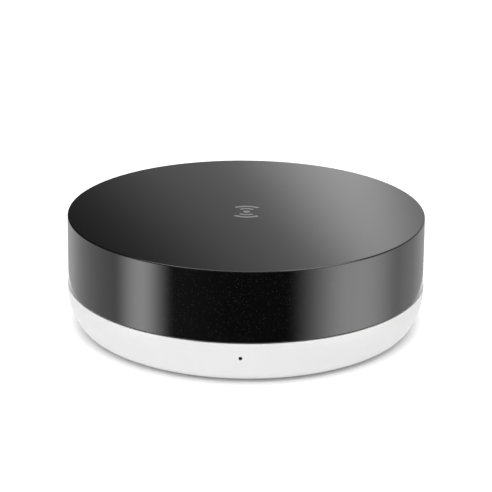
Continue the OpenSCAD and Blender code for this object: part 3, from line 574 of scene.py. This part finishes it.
# The material of each finish that the record names
FINISHES = {
    "black_cover": GLOSS_COVER,
    "white_base": WHITE_BASE,
    "foot_rubber": plastic("Foot rubber", grey(0.035), 0.7, grain=0.2 * MM, depth=0.01 * MM, dust=0.2),
    "screw_steel": metal("Screw steel", (0.55, 0.55, 0.53, 1.0), 0.3, stretch=4.0),
    "ballast_steel": metal("Ballast steel", (0.45, 0.46, 0.47, 1.0), 0.38, line=0.12 * MM, tarnish=0.3),
    "film": plastic("Amber film", (0.75, 0.55, 0.18, 1.0), 0.25, grain=1.5 * MM, depth=0.01 * MM, dust=0.1),
    "board_green": board("Green board", (0.014, 0.11, 0.04, 1.0), (0.022, 0.17, 0.06, 1.0), 1.1 * MM),
    "board_blue": board("Blue board", (0.008, 0.04, 0.17, 1.0), (0.012, 0.06, 0.24, 1.0), 0.9 * MM),
    "can_metal": metal("Tinned sheet", (0.62, 0.63, 0.64, 1.0), 0.3, line=0.06 * MM),
    "chip_black": plastic("Chip compound", grey(0.016), 0.55, grain=0.08 * MM, depth=0.006 * MM),
    "gold_contact": metal("Gold plating", (0.83, 0.62, 0.25, 1.0), 0.22, stretch=5.0, tarnish=0.1),
    "lead_jacket": plastic("Lead jacket", grey(0.04), 0.35, grain=0.15 * MM),
    "tape": plastic("Foam tape", (0.8, 0.77, 0.68, 1.0), 0.8, grain=0.12 * MM, depth=0.02 * MM),
    "fuse_body": plastic("Fuse polymer", (0.05, 0.22, 0.07, 1.0), 0.5, grain=0.1 * MM),
    "ferrite": plastic("Pressed ferrite", (0.05, 0.05, 0.055, 1.0), 0.6, grain=0.1 * MM, depth=0.01 * MM),
    "can_aluminium": metal("Drawn aluminium", (0.75, 0.76, 0.77, 1.0), 0.24, line=0.05 * MM, tarnish=0.08),
    "ceramic_tan": plastic("Tan ceramic", (0.42, 0.27, 0.13, 1.0), 0.4, grain=0.06 * MM),
    "ceramic_black": plastic("Black ceramic", grey(0.02), 0.3, grain=0.06 * MM),
    "led_lens": plastic("Milky resin", (0.85, 0.83, 0.72, 1.0), 0.2, grain=0.1 * MM,
                        Transmission_Weight=0.4),
    "clear_guide": plastic("Clear acrylic", (0.92, 0.96, 0.97, 1.0), 0.08, depth=0.0005 * MM, dust=0.02,
                           Transmission_Weight=1.0, IOR=1.49),
    "spring_steel": metal("Spring bronze", (0.6, 0.52, 0.33, 1.0), 0.22, stretch=5.0),
    "plunger_ivory": plastic("Ivory plunger", (0.78, 0.74, 0.62, 1.0), 0.4, grain=0.1 * MM),
}


# The cover and the mark on it

def cover_outline():
    """The cover's section as (radius, height) points, from the seam up its outside and down its inside."""
    top_r = COVER_LOW_R - COVER_DRAFT
    gap_top_z = SEAM_Z + SEAM_GAP_H
    gap_in_r = COVER_LOW_R - SEAM_GAP_DEPTH
    round_z = TOP_Z - EDGE_ROUND
    foot_z = gap_top_z + FOOT_ROUND
    lip_in_r = LIP_OUT_R - LIP_T
    points = [(gap_in_r, SEAM_Z), (gap_in_r, gap_top_z)]
    points += arc_points((COVER_LOW_R - FOOT_ROUND, foot_z), FOOT_ROUND, -pi / 2, 0.0, FOOT_STEPS)
    points += [(COVER_LOW_R - COVER_DRAFT * NEAR_SHARE, foot_z + (round_z - foot_z) * NEAR_SHARE)]
    points += [(top_r + COVER_DRAFT * NEAR_SHARE, round_z - (round_z - foot_z) * NEAR_SHARE)]
    points += arc_points((top_r - EDGE_ROUND, round_z), EDGE_ROUND, 0.0, pi / 2, EDGE_STEPS)
    points += [(top_r - EDGE_ROUND - NEAR_EDGE, TOP_Z), (0.0, TOP_Z)]
    points += [(0.0, TOP_Z - COVER_ROOF), (top_r - COVER_WALL, TOP_Z - COVER_ROOF)]
    points += [(COVER_LOW_R - COVER_WALL, SEAM_Z + LIP_ROOT_H), (lip_in_r, SEAM_Z + LIP_ROOT_H)]
    points += [(lip_in_r, SEAM_Z - LIP_DEPTH), (LIP_OUT_R, SEAM_Z - LIP_DEPTH), (LIP_OUT_R, SEAM_Z)]
    return points


def make_cover():
    """The drum with its lip, its four screw bosses and the ribs that tie them to the wall."""
    cover = lathe("cover_moulding", cover_outline(), COVER_STEPS)
    inside_z = TOP_Z - COVER_ROOF + OVERLAP
    hole_top_z = BOSS_LOW_Z + BOSS_HOLE_H
    boss_outline = [(0.0, hole_top_z), (BOSS_HOLE_D / 2, hole_top_z), (BOSS_HOLE_D / 2, BOSS_LOW_Z),
                    (BOSS_D / 2, BOSS_LOW_Z), (BOSS_D / 2, inside_z), (0.0, inside_z)]
    rib_low = (BOSS_RING_R, -RIB_T / 2, inside_z - OVERLAP - RIB_H)
    rib_high = (COVER_LOW_R - COVER_WALL + OVERLAP, RIB_T / 2, inside_z)
    for angle in BOSS_TURNS:
        apply_boolean(cover, turned_about_z(block("rib", rib_low, rib_high), angle), "UNION")
        boss = lathe("boss", boss_outline, BOSS_STEPS)
        boss.data.transform(Matrix.Translation((BOSS_RING_R, 0.0, 0.0)))
        apply_boolean(cover, turned_about_z(boss, angle), "UNION")
    notch = block("notch", (-LIP_NOTCH_W / 2, LIP_OUT_R - 2 * LIP_T, SEAM_Z - LIP_DEPTH - OVERLAP),
                  (LIP_NOTCH_W / 2, LIP_OUT_R + OVERLAP, SEAM_Z))
    apply_boolean(cover, notch, "DIFFERENCE")
    smooth_by_angle(cover, SMOOTH_ANGLE)
    cover.data.materials.clear()
    cover.data.materials.append(GLOSS_COVER)
    cover.data.materials.append(SATIN_COVER)
    for face in cover.data.polygons:
        face.material_index = int(face.center.z > SATIN_LOW_Z)
    return cover


def make_mark():
    """A printed sign for a radio: a dot, with a pair of arcs before it and a pair behind it."""
    turns = [2 * pi * k / MARK_DOT_STEPS for k in range(MARK_DOT_STEPS)]
    outlines = [[on_circle(MARK_PLACE, MARK_DOT_R, turn) for turn in turns]]
    for middle in (-pi / 2, pi / 2):
        for inner, outer in MARK_ARCS:
            outlines.append(bowed_strip(MARK_PLACE, inner, outer, middle - MARK_HALF_ANGLE,
                                        middle + MARK_HALF_ANGLE, MARK_ARC_STEPS))
    mark_z = TOP_Z + MARK_PROUD
    mark = prism("top_sign", outlines, mark_z - MARK_T, mark_z)
    mark.data.materials.append(MARK_PRINT)
    return mark


cover = make_cover()
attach(cover, "case")
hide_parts("top_cover")

sign = make_mark()
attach(sign, "case")

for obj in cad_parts.values():
    obj.material_slots[0].material = FINISHES[obj.material_slots[0].name]


# The table, the cards, the room and the lights

def is_seen(nodes):
    """1 for what the camera, gloss and clear pieces see, and 0 for what lights other surfaces."""
    path = nodes.add("ShaderNodeLightPath").outputs
    seen = nodes.math("MAXIMUM", path["Is Camera Ray"], path["Is Glossy Ray"])
    return nodes.math("MAXIMUM", seen, path["Is Transmission Ray"])


def make_table_white():
    """A matt white table top with a faint glow that lights nothing, faded under the base as a painted
    shadow.
    """
    material, nodes, shader = new_material("White table")
    grain = nodes.noise(nodes.place(), TABLE_GRAIN_SCALE, detail=3.0)
    shade = nodes.spread(grain, NOISE_LOW, NOISE_HIGH, *TABLE_SHADES)
    reach = nodes.add("ShaderNodeVectorMath", operation="LENGTH")
    nodes.plug(reach.inputs[0], nodes.place())
    # The glow is held low under the base's foot: a painted contact shadow.
    glow = nodes.spread(reach.outputs["Value"], PAINTED_SHADOW_IN_R, PAINTED_SHADOW_OUT_R, TABLE_GLOW_IN_PAINTED_SHADOW, TABLE_GLOW)
    nodes.feed(shader, Specular_IOR_Level=0.0, Roughness=1.0,
               Base_Color=nodes.scaled(grey(TABLE_COLOUR)[:3], shade), Emission_Color=grey(1.0),
               Emission_Strength=nodes.math("MULTIPLY", glow, is_seen(nodes)))
    return material


def make_table():
    """The table top, which lets the light from below through, as frosted glass does."""
    corners = [(-TABLE_HALF, -TABLE_HALF, 0.0), (TABLE_HALF, -TABLE_HALF, 0.0),
               (TABLE_HALF, TABLE_HALF, 0.0), (-TABLE_HALF, TABLE_HALF, 0.0)]
    floor = mesh_from("table", corners, [[0, 1, 2, 3]])
    floor.data.materials.append(make_table_white())
    floor.visible_shadow = False


def show_glow(card, glow):
    """Makes a mesh a card that glows by its vertices' levels, and that only gloss shows."""
    layer = card.data.attributes.new("Glow", "FLOAT", "POINT")
    layer.data.foreach_set("value", glow)
    material = bpy.data.materials.new(card.name)
    material.use_nodes = True
    tree = material.node_tree
    tree.nodes.remove(tree.nodes["Principled BSDF"])
    shine = tree.nodes.new("ShaderNodeEmission")
    read = tree.nodes.new("ShaderNodeAttribute")
    read.attribute_name = "Glow"
    tree.links.new(read.outputs["Fac"], shine.inputs["Strength"])
    tree.links.new(shine.outputs[0], tree.nodes["Material Output"].inputs["Surface"])
    card.data.materials.append(material)
    card.visible_camera = False
    card.visible_diffuse = False
    card.visible_transmission = False
    card.visible_shadow = False
    card.visible_volume_scatter = False


def leaning(stops, height):
    """The turn and the glow of a band's stops at a height, each stop moved as far as it leans."""
    rise = max(-MOST_LEAN_H, min(MOST_LEAN_H, height - LEAN_MIDDLE_Z))
    return [(turn + lean * rise, glow) for turn, glow, lean in stops]


def glow_at(placed_stops, turn):
    """The glow at a turn in degrees, with soft steps between the stops."""
    for before, after in zip(placed_stops, placed_stops[1:]):
        if before[0] <= turn <= after[0]:
            share = (turn - before[0]) / (after[0] - before[0])
            share = share * share * (3 - 2 * share)
            return before[1] + (after[1] - before[1]) * share
    return placed_stops[-1][1]


def glow_band(name, radius, height, stops, from_back):
    """A round band of cards. The turn is counted from the front, or from the back for the far side's."""
    vertices = []
    glow = []
    for row in range(BAND_ROWS + 1):
        row_z = height * row / BAND_ROWS
        placed_stops = leaning(stops, row_z)
        for k in range(BAND_STEPS):
            turn = -180 + 360 * k / BAND_STEPS
            angle = radians(90 - turn if from_back else turn - 90)
            vertices.append((*on_circle(Z_AXIS, radius, angle), row_z))
            glow.append(glow_at(placed_stops, turn))
    faces = []
    for row in range(BAND_ROWS):
        low = row * BAND_STEPS
        for k in range(BAND_STEPS):
            n = (k + 1) % BAND_STEPS
            faces.append([low + k, low + n, low + BAND_STEPS + n, low + BAND_STEPS + k])
    show_glow(mesh_from(name, vertices, faces), glow)


def make_cards():
    """The cards that the cover's gloss shows: two round bands, one high at the side and one overhead."""
    glow_band("near cards", NEAR_R, NEAR_H, NEAR_STOPS, False)
    glow_band("far cards", FAR_R, FAR_H, FAR_STOPS, True)
    side_outline = bowed_strip(Z_AXIS, SIDE_CARD_R, SIDE_CARD_R + CARD_T, *SIDE_CARD_ENDS, CARD_STEPS)
    side = prism("side card", [side_outline], SIDE_CARD_LOW_Z, SIDE_CARD_HIGH_Z)
    show_glow(side, [SIDE_CARD_GLOW] * len(side.data.vertices))
    ceiling_outline = [(CEILING_IN_R, CEILING_Z), (CEILING_OUT_R, CEILING_Z),
                       (CEILING_OUT_R, CEILING_Z + CARD_T), (CEILING_IN_R, CEILING_Z + CARD_T)]
    ceiling = lathe("ceiling card", ceiling_outline, CEILING_STEPS)
    show_glow(ceiling, [CEILING_GLOW] * len(ceiling.data.vertices))


def make_room():
    """The white room: what it lights the object with, and the full white that is seen of it."""
    world = bpy.data.worlds.new("White room")
    bpy.context.scene.world = world
    world.use_nodes = True
    nodes = Nodes(world.node_tree)
    strength = nodes.spread(is_seen(nodes), 0.0, 1.0, ROOM_LIGHT, 1.0)
    nodes.feed(world.node_tree.nodes["Background"], Color=grey(1.0), Strength=strength)


def towards(turn, elevation):
    """The direction at a turn from the front and a height above the table, both in radians."""
    return Vector((sin(turn) * cos(elevation), -cos(turn) * cos(elevation), sin(elevation)))


def make_sun(name, turn, elevation, strength, spread):
    """A soft light from far away, which no gloss shows."""
    light = bpy.data.lights.new(name, "SUN")
    light.energy = strength
    light.angle = radians(spread)
    lamp = new_object(name, light)
    lamp.rotation_euler = towards(radians(turn), radians(elevation)).to_track_quat("Z", "Y").to_euler()
    lamp.visible_glossy = False


make_table()
make_cards()
make_room()
for sun in SUNS:
    make_sun(*sun)


# The camera, placed as it was for the photograph

def aim_camera(camera):
    """Puts the camera in front of the object, a little above it and hardly turned."""
    top = Vector((0.0, 0.0, TOP_Z))
    place = top + CAMERA_DISTANCE * towards(CAMERA_TURN, SIGHT_ELEVATION)
    forward = -towards(CAMERA_TURN, AXIS_ELEVATION)
    level_right = forward.cross(Vector((0, 0, 1))).normalized()
    level_up = level_right.cross(forward)
    right = level_right * cos(CAMERA_ROLL) + level_up * sin(CAMERA_ROLL)
    up = right.cross(forward)
    camera.matrix_world = Matrix((
        (right.x, up.x, -forward.x, place.x),
        (right.y, up.y, -forward.y, place.y),
        (right.z, up.z, -forward.z, place.z),
        (0, 0, 0, 1)))


camera_data = bpy.data.cameras.new("Camera")
camera_data.lens = CAMERA_FOCAL_PIXELS / PHOTO_W * camera_data.sensor_width
camera_data.clip_start = CAMERA_NEAREST
camera_data.clip_end = CAMERA_FARTHEST
camera = new_object("Camera", camera_data)
bpy.context.scene.camera = camera
aim_camera(camera)
bpy.context.scene.view_settings.view_transform = "Standard"
